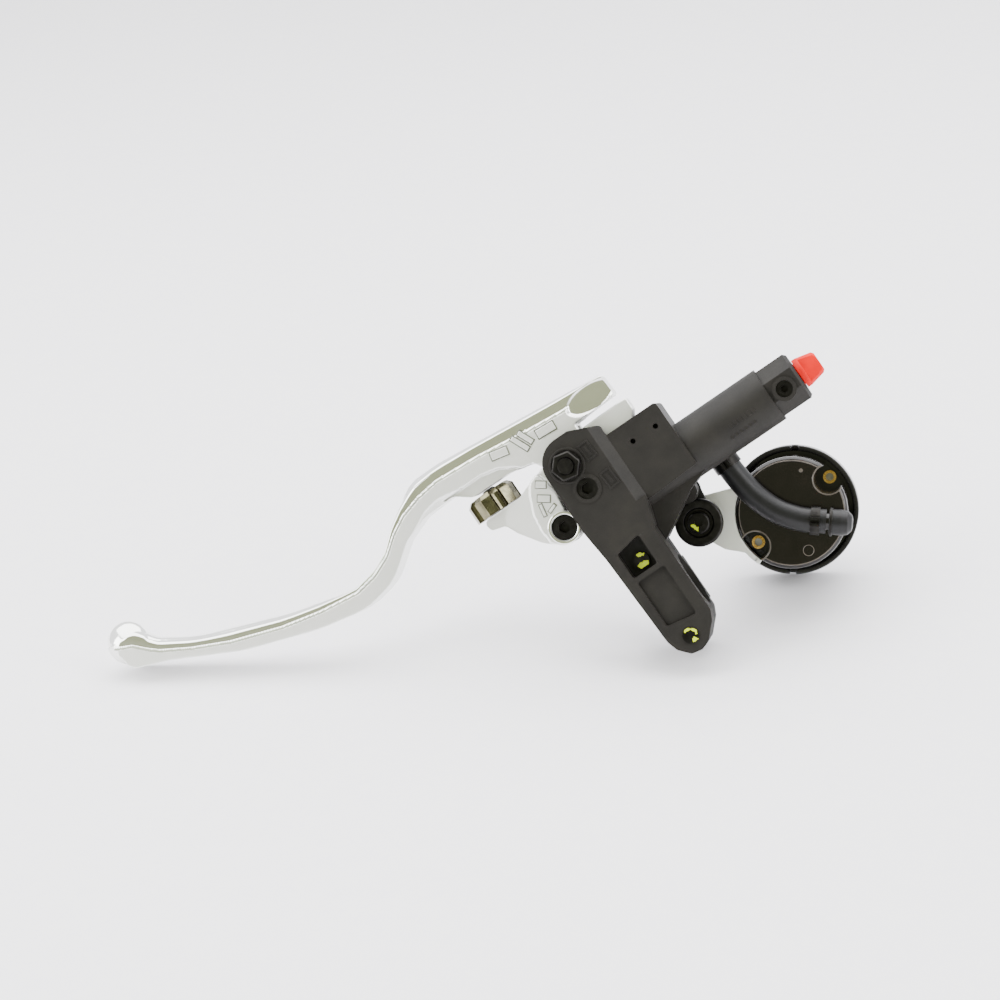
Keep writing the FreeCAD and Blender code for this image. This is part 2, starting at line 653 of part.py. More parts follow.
def reservoir_pot():
    top = pot_bottom + pot_height
    outer = along_y(pot_x, pot_z, pot_radius, pot_bottom, top)
    outer = outer.makeFillet(2.0, [e for e in outer.Edges if abs(e.CenterOfMass.y - pot_bottom) < 0.01
                                   and len(e.Vertexes) == 1])
    rim = along_y(pot_x, pot_z, lid_radius - 2.4, top - 3.0, top)
    inner = along_y(pot_x, pot_z, pot_radius - pot_wall, pot_bottom + pot_wall, top + 1)
    scallops = [along_y(x, z, column_radius, pot_bottom - 1, top - 8.0) for x, z in column_places()]
    walls = [along_y(x, z, column_radius + pot_wall, pot_bottom, top) for x, z in column_places()]
    shell = joined(outer, rim).cut(inner)
    columns = walls[0].fuse(walls[1]).common(outer.fuse(rim))
    shell = joined(shell, columns).cut(scallops)
    inserts = [along_y(x, z, 2.6, top - 9.6, top + 1) for x, z in column_places()]
    seat, way = strap_axis()
    blind = Part.makeCylinder(2.0 + thread_gap, strap_thickness + 1.6, seat, way)
    return shell.cut(inserts + [blind]).removeSplitter()


def spigot_ends():
    points = hose_points()
    way = (points[-2] - points[-1]).normalize()
    return points[-1], way


def reservoir_spigot():
    end, way = spigot_ends()
    root = end - way * (spigot_radius + 1.2)
    pipe = Part.makeCylinder(hose_bore - hose_fit, 13.0, root, way)
    elbow = Part.makeSphere(spigot_radius, root)
    stand = along_y(root.x, root.z, spigot_radius, hose_y, pot_bottom)
    bore = Part.makeCylinder(1.8, 30.0, root, way)
    return joined(pipe, elbow, stand).cut(bore)


def brass_inserts():
    top = pot_bottom + pot_height
    return [along_y(x, z, 2.6, top - 9.6, top - 0.2).cut(along_y(x, z, 1.5 + thread_gap, 0, 100))
            for x, z in column_places()]


def reservoir_lid():
    top = pot_bottom + pot_height + 2.0
    plate_part = along_y(pot_x, pot_z, lid_radius, top, top + lid_thickness)
    skirt = along_y(pot_x, pot_z, lid_radius, top - lid_skirt, top + 1)
    skirt = skirt.cut(along_y(pot_x, pot_z, lid_radius - 2.1, top - lid_skirt - 1, top))
    solid = joined(plate_part, skirt)
    rim = [e for e in solid.Edges if abs(e.CenterOfMass.y - top - lid_thickness) < 0.01]
    solid = solid.makeFillet(1.4, rim)
    slots = [block(pot_x - 1.2, pot_x + 1.2, top - lid_skirt - 1, top - 4.0, pot_z + 18, pot_z + 30)]
    slots[0].rotate(V(pot_x, 0, pot_z), V(0, 1, 0), 35)
    slots.append(slots[0].copy())
    slots[1].rotate(V(pot_x, 0, pot_z), V(0, 1, 0), 180)
    holes = [along_y(x, z, 1.7, 0, 100) for x, z in column_places()]
    sinks = [along_y(x, z, 3.1, top + 1.2, 100) for x, z in column_places()]
    return solid.cut(slots + holes + sinks)


def lid_diaphragm():
    top = pot_bottom + pot_height
    flange = along_y(pot_x, pot_z, lid_radius - 2.6, top + 0.02, top + 1.98)
    bellows = along_y(pot_x, pot_z, 11.2, top - 8.0, top + 1.0)
    hollow = along_y(pot_x, pot_z, 9.8, top - 6.6, top + 3)
    holes = [along_y(x, z, 1.7, 0, 100) for x, z in column_places()]
    return joined(flange, bellows).cut([hollow] + holes)


def lid_screws():
    seat = pot_bottom + pot_height + 2.0 + 1.2
    return [cap_screw(x, z, seat, seat - 10.5, 1.5, 2.9, 1.9, 2.0) for x, z in column_places()]


# ---------------------------------------------------------------- reservoir bracket

def bracket_arm():
    y1 = arm_y + arm_thickness
    foot = along_y(arm_x, arm_z, 5.2, arm_y + 0.02, y1)
    eye = along_y(eye_x, eye_z, 6.6, arm_y + 0.02, y1)
    waist = plate([(arm_x - 4.6, arm_z), (eye_x - 6.0, eye_z), (eye_x + 6.4, eye_z), (arm_x + 5.0, arm_z)],
                  arm_y + 0.02, y1)
    holes = [along_y(arm_x, arm_z, 2.1, 0, 40), along_y(eye_x, eye_z, 2.6, 0, 40)]
    return joined(foot, eye, waist).cut(holes)


def arm_screw():
    return cap_screw(arm_x, arm_z, arm_y + arm_thickness, 9.6, 2.0, 3.4, 2.4, 2.5)


def rubber_mount():
    y1 = strap_y - 0.02
    y0 = arm_y + arm_thickness + 0.02
    profile = [(0, 2.6), (0, eye_radius - 2.2), (1.4, eye_radius - 1.2), (y1 - y0, eye_radius - 1.2),
               (y1 - y0, 2.6)]
    return turned(profile, V(eye_x, y0, eye_z), V(0, 1, 0))


def eye_washer():
    y1 = arm_y
    washer = along_y(eye_x, eye_z, eye_radius, y1 - washer_thickness, y1)
    rim = [e for e in washer.Edges if abs(e.CenterOfMass.y - y1 + washer_thickness) < 0.01
           and len(e.Vertexes) == 1]
    washer = washer.makeFillet(1.2, rim)
    return washer.cut([along_y(eye_x, eye_z, 2.6, 0, 40),
                       along_y(eye_x, eye_z, 5.6, 0, y1 - washer_thickness + 1.6)])


def bracket_bolt():
    seat = arm_y - washer_thickness + 1.6
    return cap_screw(eye_x, eye_z, seat, strap_y + strap_thickness + 5.0, 2.5, 4.2, 2.8, 3.0)


def bracket_nut():
    start = V(eye_x, strap_y + strap_thickness + 0.02, eye_z)
    return polygon_bar(6, 8.0, start, V(0, 1, 0), 4.0).cut(along_y(eye_x, eye_z, 2.5 + thread_gap, 0, 60))


def reservoir_strap():
    """Bent steel strap: a flat tab on the rubber mount and a saddle around the pot."""
    inner = pot_radius + 0.05
    ring = along_y(pot_x, pot_z, inner + strap_thickness, strap_y, strap_y + 9.0)
    ring = ring.cut(along_y(pot_x, pot_z, inner, 0, 60))
    saddle = ring.common(plate([(pot_x, pot_z), (20.0, 24.0), (24.0, -14.0)], 0, 60))
    tab = plate([(eye_x - 7.5, eye_z + 3.0, 4.0), (eye_x + 3.0, eye_z + 9.0, 4.0), (44.0, 19.0),
                 (pot_x - 4.0, pot_z + 10.0), (pot_x - 16.0, pot_z - 10.0), (25.0, 2.0, 5.0)],
                strap_y, strap_y + strap_thickness)
    tab = tab.cut(along_y(pot_x, pot_z, inner, 0, 60))
    return joined(tab, saddle).cut([along_y(eye_x, eye_z, 2.6, 0, 60), strap_screw_hole(2.1)])


def strap_axis():
    t = math.radians(strap_screw_angle)
    way = V(-math.cos(t), 0, -math.sin(t))
    seat = V(pot_x, strap_y + 6.0, pot_z) - way * (pot_radius + 0.05 + strap_thickness)
    return seat, way


def strap_screw_hole(radius):
    seat, way = strap_axis()
    return Part.makeCylinder(radius, 20.0, seat - way * 8.0, way)


def strap_screw():
    seat, way = strap_axis()
    shank = Part.makeCylinder(2.0, 3.4, seat, way)
    head = Part.makeCylinder(3.6, 2.2, seat - way * 2.2, way)
    return joined(shank, head).cut(polygon_bar(6, 2.5, seat - way * 2.7, way, 1.8))


# ---------------------------------------------------------------- assembly

pieces = {
    "master_cylinder_body": master_cylinder_body,
    "clamp_cap": clamp_cap,
    "clamp_screws": clamp_screws,
    "pivot_bolt": pivot_bolt,
    "pivot_nut": pivot_nut,
    "pivot_bush": pivot_bush,
    "ear_plug_screw": ear_plug_screw,
    "side_port_plug": side_port_plug,
    "lever_blade": lever_blade,
    "lever_carrier": lever_carrier,
    "adjuster_wheel": adjuster_wheel,
    "adjuster_spindle": adjuster_spindle,
    "trunnion_pin": trunnion_pin,
    "pushrod": pushrod,
    "pushrod_nut": pushrod_nut,
    "piston": piston,
    "primary_seal": primary_seal,
    "secondary_seal": secondary_seal,
    "piston_spring": piston_spring,
    "circlip": circlip,
    "dust_boot": dust_boot,
    "outlet_plug": outlet_plug,
    "inlet_elbow": inlet_elbow,
    "reservoir_hose": reservoir_hose,
    "hose_clips": hose_clips,
    "reservoir_pot": reservoir_pot,
    "reservoir_spigot": reservoir_spigot,
    "brass_inserts": brass_inserts,
    "reservoir_lid": reservoir_lid,
    "lid_diaphragm": lid_diaphragm,
    "lid_screws": lid_screws,
    "bracket_arm": bracket_arm,
    "arm_screw": arm_screw,
    "rubber_mount": rubber_mount,
    "eye_washer": eye_washer,
    "bracket_bolt": bracket_bolt,
    "bracket_nut": bracket_nut,
    "reservoir_strap": reservoir_strap,
    "strap_screw": strap_screw,
}


def bench_rotation():
    tilt = FreeCAD.Rotation(V(0, -1, 0), bench_tilt)
    lean = FreeCAD.Rotation(V(-1, 0, 0), bench_lean)
    return lean.multiply(tilt)


def on_bench(shape):
    placed = shape.copy()
    placed.Placement = FreeCAD.Placement(V(0, 0, 0), bench_rotation()).multiply(placed.Placement)
    return placed


os.makedirs("parts", exist_ok=True)
for name, make in pieces.items():
    made = make()
    if isinstance(made, list):
        made = Part.makeCompound(made)
    made = on_bench(made)
    if not made.isValid():
        print("invalid shape:", name)
    print("%-22s solids %d  volume %8.0f" % (name, len(made.Solids), made.Volume))
    made.exportStep(os.path.join("parts", name + ".step"))
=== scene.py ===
# %% [markdown]
# # A brake lever with its master cylinder
# This lesson dresses a finished CAD model of a motorcycle front brake control: a black
# cast body that clamps on the handlebar, a polished lever, and a small fluid reservoir
# on a rubber hose. The CAD model is the fixed frame. Everything made here is put where
# the frame says, so nothing is fitted by eye afterwards.

# %% Load the fixed frame
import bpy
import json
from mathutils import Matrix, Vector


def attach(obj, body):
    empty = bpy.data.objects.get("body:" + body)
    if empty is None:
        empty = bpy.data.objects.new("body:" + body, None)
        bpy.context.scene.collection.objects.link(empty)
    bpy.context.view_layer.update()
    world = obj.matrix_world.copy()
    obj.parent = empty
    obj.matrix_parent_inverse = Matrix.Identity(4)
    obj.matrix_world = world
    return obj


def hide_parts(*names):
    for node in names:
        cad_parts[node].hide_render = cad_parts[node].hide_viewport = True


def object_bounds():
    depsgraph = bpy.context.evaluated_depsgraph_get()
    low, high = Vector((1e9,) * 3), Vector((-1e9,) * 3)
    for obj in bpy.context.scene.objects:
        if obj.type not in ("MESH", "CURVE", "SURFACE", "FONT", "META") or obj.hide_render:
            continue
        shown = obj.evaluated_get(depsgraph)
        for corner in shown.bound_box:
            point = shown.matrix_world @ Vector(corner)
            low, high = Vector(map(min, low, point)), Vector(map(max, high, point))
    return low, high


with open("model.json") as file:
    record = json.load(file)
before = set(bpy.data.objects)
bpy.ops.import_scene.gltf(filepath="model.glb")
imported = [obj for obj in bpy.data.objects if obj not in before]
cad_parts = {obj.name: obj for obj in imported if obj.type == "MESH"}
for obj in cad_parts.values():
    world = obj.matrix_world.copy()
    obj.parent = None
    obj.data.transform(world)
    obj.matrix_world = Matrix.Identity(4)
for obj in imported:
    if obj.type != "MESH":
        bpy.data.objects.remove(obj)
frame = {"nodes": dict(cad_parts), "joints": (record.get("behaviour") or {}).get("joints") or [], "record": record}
cad_bounds = [list(corner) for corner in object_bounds()]

# %% Modules and the measured box
import json
import math

import bmesh
import bpy
from mathutils import Matrix, Vector

print("CAD box in metres:", cad_bounds)

# %% [markdown]
# ## A comfortable set of axes
# The assembly lies tilted on a bench, which is awkward to draw in. The maker thinks along
# the handlebar instead: x along the bar towards the outlet, y from the underside towards
# the reservoir lid, z from the bar forwards to the lever. Those three directions can be
# read from the frame: the clamp mount gives x and the lever's hinge gives y. All drawing
# below is in millimetres on these axes, and one matrix puts it in place.

# %% The bar axes
MM = 0.001
record = frame["record"]
mount = {m["name"]: m for m in record["mounts"]}
joint = {j["name"]: j for j in frame["joints"]}
bar_x = Vector(mount["handlebar_clamp"]["axis"]).normalized()
bar_y = -Vector(joint["lever_pull"]["axis"]).normalized()
bar_z = bar_x.cross(bar_y)
to_row = Matrix((bar_x, bar_y, bar_z)).transposed().to_4x4() @ Matrix.Scale(MM, 4)
to_bar = to_row.inverted()


def bar_point(row_point):
    """A point of the frame, in millimetres on the bar axes."""
    return to_bar @ Vector(row_point)


def bar_box(node):
    """Lowest and highest corner of a CAD node on the bar axes, in millimetres."""
    points = [to_bar @ v.co for v in frame["nodes"][node].data.vertices]
    low = Vector([min(p[i] for p in points) for i in range(3)])
    high = Vector([max(p[i] for p in points) for i in range(3)])
    return low, high


pivot = bar_point(joint["lever_pull"]["pos_m"])
print("lever pivot on the bar axes:", [round(c, 2) for c in pivot])

# %% [markdown]
# ## Camera
# The camera is placed first. It could be aimed with a tracking constraint, but then its roll would be hard to set.
# So its place is worked out from two angles around the point it aims at, and the roll is a turn about its own
# axis. A long lens from a metre away flattens the perspective.

# %% Camera
camera_distance = 1.05
camera_lens = 99.5
camera_azimuth = 8.9
camera_elevation = 24.1
camera_roll = 5.6
camera_aim = Vector((-0.0628, 0.0146, 0.0352))


def aim_camera(name, aim, azimuth, elevation, roll, distance, lens):
    a, e = math.radians(azimuth), math.radians(elevation)
    back = Vector((math.sin(a) * math.cos(e), -math.cos(a) * math.cos(e), math.sin(e)))
    camera = bpy.data.objects.new(name, bpy.data.cameras.new(name))
    camera.data.lens = lens
    camera.location = aim + back * distance
    facing = back.to_track_quat("Z", "Y").to_matrix().to_4x4()
    camera.matrix_world = Matrix.Translation(camera.location) @ facing @ Matrix.Rotation(
        -math.radians(roll), 4, "Z")
    bpy.context.scene.collection.objects.link(camera)
    return camera


camera = aim_camera("Camera", camera_aim, camera_azimuth, camera_elevation, camera_roll, camera_distance,
                    camera_lens)
bpy.context.scene.camera = camera
print("camera %.2f m from its aim" % camera_distance)

# %% [markdown]
# ## Floor and lamps
# The bench is one wide face, a hair below the lowest point of the part. The light is soft:
# three broad lamps that a polished lever can reflect, with darker gaps between them so
# that its edges can be read. Small lamps would only leave sparks on the metal.

# %% Floor
floor_size = 8.0
floor_gap = 0.0002


def flat_floor(name, size, height):
    half = size / 2
    mesh = bpy.data.meshes.new(name)
    corners = [(-half, -half, height), (half, -half, height), (half, half, height), (-half, half, height)]
    mesh.from_pydata(corners, [], [(0, 1, 2, 3)])
    floor = bpy.data.objects.new(name, mesh)
    bpy.context.scene.collection.objects.link(floor)
    return floor


floor = flat_floor("bench_top", floor_size, cad_bounds[0][2] - floor_gap)


# %% Lamps
def soft_lamp(name, place, aim, size, power, tint=(1.0, 1.0, 1.0)):
    lamp = bpy.data.lights.new(name, "AREA")
    lamp.shape = "RECTANGLE"
    lamp.size, lamp.size_y = size
    lamp.energy = power
    lamp.color = tint
    holder = bpy.data.objects.new(name, lamp)
    holder.location = place
    holder.rotation_euler = (Vector(place) - aim).to_track_quat("Z", "Y").to_euler()
    bpy.context.scene.collection.objects.link(holder)


lamp_aim = Vector((-0.05, 0.0, 0.03))
soft_lamp("overhead_softbox", (-0.15, 0.3, 1.1), lamp_aim, (2.2, 1.4), 46.0)
soft_lamp("left_softbox", (-1.0, -0.55, 0.55), lamp_aim, (0.7, 0.7), 12.0, (1.0, 1.0, 0.985))
soft_lamp("right_softbox", (0.95, -0.35, 0.6), lamp_aim, (0.6, 0.8), 12.0)

# %% [markdown]
# ## Colour and nodes
# Colours are written as a designer reads them off a swatch, in sRGB hex. The renderer
# wants linear light, so one function does the turning. One other function adds a node
# with its settings and its links, and every material below is built with it.


# %% Colour and node helpers
def linear(swatch):
    """sRGB hex to a linear RGBA colour."""
    values = [int(swatch[i:i + 2], 16) / 255 for i in (1, 3, 5)]
    return [v / 12.92 if v <= 0.04045 else ((v + 0.055) / 1.055) ** 2.4 for v in values] + [1.0]


def add_node(tree, kind, settings=None, **inputs):
    """Adds a node. Settings are its properties; inputs are values or sockets to link."""
    node = tree.nodes.new(kind)
    for name, value in (settings or {}).items():
        setattr(node, name, value)
    for name, value in inputs.items():
        key = int(name[1:]) if name[0] == "i" and name[1:].isdigit() else name.replace("_", " ")
        if isinstance(value, bpy.types.NodeSocket):
            tree.links.new(value, node.inputs[key])
        else:
            node.inputs[key].default_value = value
    return node


def new_material(name):
    material = bpy.data.materials.new(name)
    material.use_nodes = True
    material.node_tree.nodes.clear()
    return material, material.node_tree


def close_material(tree, shader):
    add_node(tree, "ShaderNodeOutputMaterial", Surface=shader.outputs[0])


def speckle(tree, grain_mm, low, high, detail=3.0, stretch=(1.0, 1.0, 1.0)):
    """Noise whose spots are grain_mm wide, as a value that runs from low to high."""
    place = add_node(tree, "ShaderNodeTexCoord").outputs["Object"]
    scaled = add_node(tree, "ShaderNodeMapping", Vector=place, Scale=stretch).outputs[0]
    noise = add_node(tree, "ShaderNodeTexNoise", Vector=scaled, Scale=1.0 / (grain_mm * MM),
                     Detail=detail, Roughness=0.55)
    spread = add_node(tree, "ShaderNodeMapRange", Value=noise.outputs[0], From_Min=0.3, From_Max=0.7,
                      To_Min=low, To_Max=high)
    return noise.outputs[0], spread.outputs[0]


def blend_colours(tree, factor, first, second):
    mix = add_node(tree, "ShaderNodeMix", {"data_type": "RGBA"}, i0=factor, i6=first, i7=second)
    return mix.outputs[2]


def relief(tree, height, depth_mm, strength=1.0):
    bump = add_node(tree, "ShaderNodeBump", Height=height, Distance=depth_mm * MM, Strength=strength)
    return bump.outputs[0]


# %% [markdown]
# ## The black casting
# The body is die-cast aluminium with a baked epoxy coat. The coat is a warm black that
# never looks quite black under studio light. It hides the metal, so it isn't metallic:
# it shows the sand-like skin of the mould as fine relief, and a broad soft sheen. The sand
# is about 0.1 mm in grain, too fine to show, so its spots are drawn at 0.45 mm.


# %% Epoxy-coated casting
def epoxy_coated_casting(name, dark, pale, grain_mm=0.45, depth_mm=0.05, roughness=0.55):
    material, tree = new_material(name)
    grain, rough = speckle(tree, grain_mm, roughness - 0.05, roughness + 0.09)
    cloud, cloud_mix = speckle(tree, 9.0, 0.0, 1.0, detail=2.0)
    tint = blend_colours(tree, cloud_mix, linear(dark), linear(pale))
    skin = relief(tree, grain, depth_mm, 0.6)
    shader = add_node(tree, "ShaderNodeBsdfPrincipled", Base_Color=tint, Roughness=rough, Normal=skin,
                      IOR=1.42, Specular_IOR_Level=0.3)
    close_material(tree, shader)
    return material


black_epoxy = epoxy_coated_casting("epoxy_coated_cast_aluminium", "#14120F", "#1C1A16")
bracket_epoxy = epoxy_coated_casting("powder_coated_steel_bracket", "#121110", "#1A1918", 0.3, 0.03, 0.36)

# %% [markdown]
# ## Polished and cast aluminium
# The lever is forged aluminium, ground and then buffed on a wheel. Buffing leaves hairlines
# along the lever, finer than the eye can count, and slow waves where the wheel leaned
# harder. Real hairlines are some hundredths of a millimetre apart; here they are 0.5 mm
# apart, or they would vanish. The carrier next to the lever is only tumbled with stones,
# which leaves it pale and matt.


# %% Buffed and tumbled aluminium
def buffed_aluminium(name, swatch, roughness, hairline_mm, wave_depth_mm, along, shade="#EDEEEA"):
    material, tree = new_material(name)
    hair, rough = speckle(tree, hairline_mm, roughness - 0.04, roughness + 0.06, 4.0, along)
    wave, cloud = speckle(tree, 14.0, 0.0, 1.0, 1.5)
    tint = blend_colours(tree, cloud, linear(swatch), linear(shade))
    slow = relief(tree, wave, wave_depth_mm, 0.5)
    fine = add_node(tree, "ShaderNodeBump", Height=hair, Distance=0.004 * MM, Strength=0.35, Normal=slow)
    shader = add_node(tree, "ShaderNodeBsdfPrincipled", Base_Color=tint, Metallic=1.0, Roughness=rough,
                      Normal=fine.outputs[0])
    close_material(tree, shader)
    return material


hairlines = (0.25, 1.0, 1.0)
even = (1.0, 1.0, 1.0)
polished = buffed_aluminium("buffed_forged_aluminium", "#F4F5F1", 0.12, 0.5, 0.08, hairlines)
# Darker olive aluminium, rougher like unbuffed metal; its dark colour is painted shade, for the foot of the
# lever's step and the lines round raised pads.
painted_shade_metal = buffed_aluminium("groove_painted_shade_aluminium", "#6E7164", 0.4, 0.4, 0.03, even, "#84877A")
tumbled = buffed_aluminium("tumbled_cast_aluminium", "#F0F0EE", 0.45, 0.35, 0.04, even)

# %% [markdown]
# ## Steel, nickel and brass
# Screws and nuts are zinc-plated or black-oxide steel. The adjuster wheel is nickel over
# brass, which has gone dark and a little bronze. The inserts in the reservoir are brass.
# All are turned on a lathe, and their tool marks are too fine to see, so one function
# gives them a grain of 0.4 mm that only stirs the reflection.


# %% Turned metal
def turned_metal(name, swatch, shade, roughness, grain_mm=0.4, depth_mm=0.01):
    material, tree = new_material(name)
    grain, rough = speckle(tree, grain_mm, roughness - 0.05, roughness + 0.08)
    cloud, mixing = speckle(tree, 3.0, 0.0, 1.0, 2.0)
    tint = blend_colours(tree, mixing, linear(swatch), linear(shade))
    shader = add_node(tree, "ShaderNodeBsdfPrincipled", Base_Color=tint, Metallic=1.0, Roughness=rough,
                      Normal=relief(tree, grain, depth_mm, 0.5))
    close_material(tree, shader)
    return material


zinc = turned_metal("zinc_plated_steel", "#A9A8A4", "#8F8E8C", 0.3)
black_oxide = turned_metal("black_oxide_steel", "#2E2D2B", "#201F1E", 0.36)
dark_nickel = turned_metal("nickel_plated_brass", "#7E7A62", "#5A5644", 0.2)
brass = turned_metal("turned_brass", "#D9B36A", "#B98F45", 0.25)
bright_steel = turned_metal("polished_stainless_strap", "#E8E8E6", "#D6D6D4", 0.12, 0.8, 0.02)
bronze = turned_metal("sintered_bronze", "#A67B45", "#8A6236", 0.45)

# %% [markdown]
# ## Rubber and plastics
# The hose is EPDM rubber, cured against a smooth mandrel: soft black with a slow sheen.
# The reservoir is moulded nylon, glossy and smoky brown, thick enough to look almost
# black. The transit plug is soft polyethylene, bright red and nearly matt. They differ in
# colour, roughness and grain, so one function makes them all.


# %% Rubber and moulded plastic
def moulded_polymer(name, swatch, shade, roughness, grain_mm, depth_mm, ior=1.5, gloss=0.5):
    material, tree = new_material(name)
    grain, rough = speckle(tree, grain_mm, max(0.02, roughness - 0.04), roughness + 0.06)
    cloud, mixing = speckle(tree, 7.0, 0.0, 1.0, 2.0)
    tint = blend_colours(tree, mixing, linear(swatch), linear(shade))
    shader = add_node(tree, "ShaderNodeBsdfPrincipled", Base_Color=tint, Roughness=rough, IOR=ior,
                      Specular_IOR_Level=gloss, Normal=relief(tree, grain, depth_mm, 0.5))
    close_material(tree, shader)
    return material


epdm = moulded_polymer("cured_epdm_hose", "#0A0A0B", "#101011", 0.4, 0.5, 0.02, gloss=0.3)
seal_rubber = moulded_polymer("moulded_nitrile_rubber", "#0C0C0C", "#131312", 0.5, 0.4, 0.03, 1.52)
smoked_nylon = moulded_polymer("smoked_nylon_gloss", "#0B0806", "#120E0B", 0.14, 9.0, 0.01, 1.42)
painted_highlight_nylon = moulded_polymer("smoked_nylon_painted_highlight", "#4A443E", "#5C554E", 0.12, 3.0, 0.01, 1.53)
# Paler nylon for the beads and marks on the pot: its lighter colour is a painted highlight.
lid_plastic = moulded_polymer("moulded_black_polypropylene", "#0C0B0B", "#131211", 0.24, 0.5, 0.01, 1.42)
red_pe = moulded_polymer("soft_red_polyethylene", "#D40A02", "#C40802", 0.6, 0.6, 0.02, gloss=0.15)
marker_paint = moulded_polymer("yellow_marker_paint", "#C2D600", "#AAB800", 0.45, 0.5, 0.04)
bench_paint = moulded_polymer("pale_bench_laminate", "#F1F0F3", "#EFEEF2", 0.6, 3.0, 0.0)
floor.data.materials.append(bench_paint)
print("materials made:", len(bpy.data.materials))


# %% [markdown]
# ## The room around the bench
# The walls and ceiling of the studio are white. Behind the camera the room is open and
# dim, with a green-grey cast. Polished metal shows exactly that: white where it looks up
# and olive where it looks back at the camera. Walls could be modelled for this, but they
# would also shade the bench. So the air itself is painted white, except for a dim patch
# around the direction of the lens, leaned a little towards the lever's front.


# %% Studio air
def studio_air(white, dim, towards, strength, inner=0.95, outer=0.60):
    """White surroundings with a dim patch around one direction."""
    world = bpy.data.worlds.new("studio_air")
    bpy.context.scene.world = world
    world.use_nodes = True
    tree = world.node_tree
    look = add_node(tree, "ShaderNodeTexCoord").outputs["Generated"]
    turned = add_node(tree, "ShaderNodeVectorMath", {"operation": "DOT_PRODUCT"}, i0=look, i1=towards)
    share = add_node(tree, "ShaderNodeMapRange", {"interpolation_type": "SMOOTHSTEP"},
                     Value=turned.outputs["Value"], From_Min=outer, From_Max=inner, To_Min=0.0, To_Max=1.0)
    shade = tree.nodes["Background"]
    tree.links.new(blend_colours(tree, share.outputs[0], linear(white), linear(dim)), shade.inputs["Color"])
    shade.inputs["Strength"].default_value = strength


air_strength = 2.45
patch_lean = 0.25
to_camera = camera.matrix_world.col[2].xyz
studio_air("#F4F4F7", "#85886F", (to_camera + patch_lean * bar_z).normalized(), air_strength)

# %% [markdown]
# ## Dressing the CAD pieces
# Most pieces already have the right shape, so they keep their CAD mesh and only get the
# finish of the real thing. The record says which material slot each node belongs to, so
# a small table from slot to finish dresses them all.

# %% Finish of each slot
finish_of = {
    "black_casting": black_epoxy, "polished_aluminium": tumbled, "zinc_steel": zinc,
    "black_steel": black_oxide, "dark_nickel": dark_nickel, "red_cap": red_pe, "hose_rubber": epdm,
    "reservoir_plastic": smoked_nylon, "lid_plastic": lid_plastic, "brass": brass,
    "bright_strap": bright_steel, "black_rubber": seal_rubber, "bearing_bronze": bronze,
}
slot_of = {part["node"]: part["material_slot"] for part in record["subparts"]}


def dress(node, material):
    slots = frame["nodes"][node].data.materials
    slots.clear()
    slots.append(material)


for node in frame["nodes"]:
    dress(node, finish_of[slot_of[node]])
dress("bracket_arm", bracket_epoxy)


# %% [markdown]
# ## Soft edges
# No cast or machined edge is perfectly sharp. A real edge is broken by a fraction of a
# millimetre, and that thin band catches the light. The CAD meshes come with doubled
# vertices at their edges, so they are welded first, and then a narrow bevel is added as
# a modifier, which leaves the CAD mesh itself untouched.


# %% Break the edges of the CAD pieces
weld_mm = 0.002
sharp_angle = math.radians(32.0)


def break_edges(node, width_mm):
    piece = frame["nodes"][node]
    weld = piece.modifiers.new("weld", "WELD")
    weld.merge_threshold = weld_mm * MM
    bevel = piece.modifiers.new("broken_edge", "BEVEL")
    bevel.width = width_mm * MM
    bevel.segments = 2
    bevel.limit_method = "ANGLE"
    bevel.angle_limit = sharp_angle
    for face in piece.data.polygons:
        face.use_smooth = True
    normals = piece.modifiers.new("even_normals", "WEIGHTED_NORMAL")
    normals.keep_sharp = True


break_edges("master_cylinder_body", 0.45)
break_edges("clamp_cap", 0.5)
print("pieces dressed:", len(frame["nodes"]))

# %% [markdown]
# ## The forged lever
# The blade starts as a forging with flat flanks. Its front is ground round and buffed
# until it mirrors the room, and the grinding stops at a line along each flank, where a
# small step is left. It could be swept along a curve, but then the root and the pivot
# would no longer fit. Here the CAD blade is copied and given a fine even skin, and then
# every point of that skin in front of the step line is moved from the square section of
# the CAD piece onto a round one. The flanks keep their CAD faces.


# %% Copy a CAD piece with a fine even skin
def fine_skin(node, name, body, voxel_mm, materials):
    """Evenly faced copy of a CAD node that stands in for it, with points in bar mm."""
    piece = bpy.data.objects.new(name, frame["nodes"][node].data.copy())
    bpy.context.scene.collection.objects.link(piece)
    piece.data.transform(to_bar)
    remesh = piece.modifiers.new("remesh", "REMESH")
    remesh.mode = "VOXEL"
    remesh.voxel_size = voxel_mm
    relax = piece.modifiers.new("relax", "SMOOTH")
    relax.iterations = 2
    relax.factor = 0.5
    shown = piece.evaluated_get(bpy.context.evaluated_depsgraph_get())
    skin = bpy.data.meshes.new_from_object(shown)
    piece.modifiers.clear()
    piece.data = skin
    skin.name = name
    skin.materials.clear()
    for material in materials:
        skin.materials.append(material)
    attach(piece, body)
    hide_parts(node)
    return piece


def settle(piece):
    """Takes a piece that was drawn in bar millimetres into the frame."""
    piece.data.transform(to_row)
    for face in piece.data.polygons:
        face.use_smooth = True


def on_line(points, x):
    """Height of a line of (x, z) points at x. The points run from high x to low x."""
    for (x1, z1), (x0, z0) in zip(points, points[1:]):
        if x >= x0:
            return z0 + (z1 - z0) * min(1.0, (x - x0) / (x1 - x0))
    return points[-1][1]


# %% [markdown]
# To know how much room there is in front of the step line, the blade is felt with rays,
# one for each millimetre of its length, and once more from the side for its thickness.

# %% Where the blade's top edge and flank are
ray_start = 200.0
root_top = 84.0
blade_low, blade_high = bar_box("lever_blade")


def edge_heights(node, low_x, high_x):
    """Highest z of a CAD piece's middle plane for each millimetre of x, None where it has none."""
    heights = []
    for i in range(int(high_x - low_x) + 1):
        start = to_row @ Vector((low_x + i, 0.0, ray_start))
        hit, place, _, _ = frame["nodes"][node].ray_cast(start, -bar_z)
        heights.append((to_bar @ place).z if hit else None)
    return heights


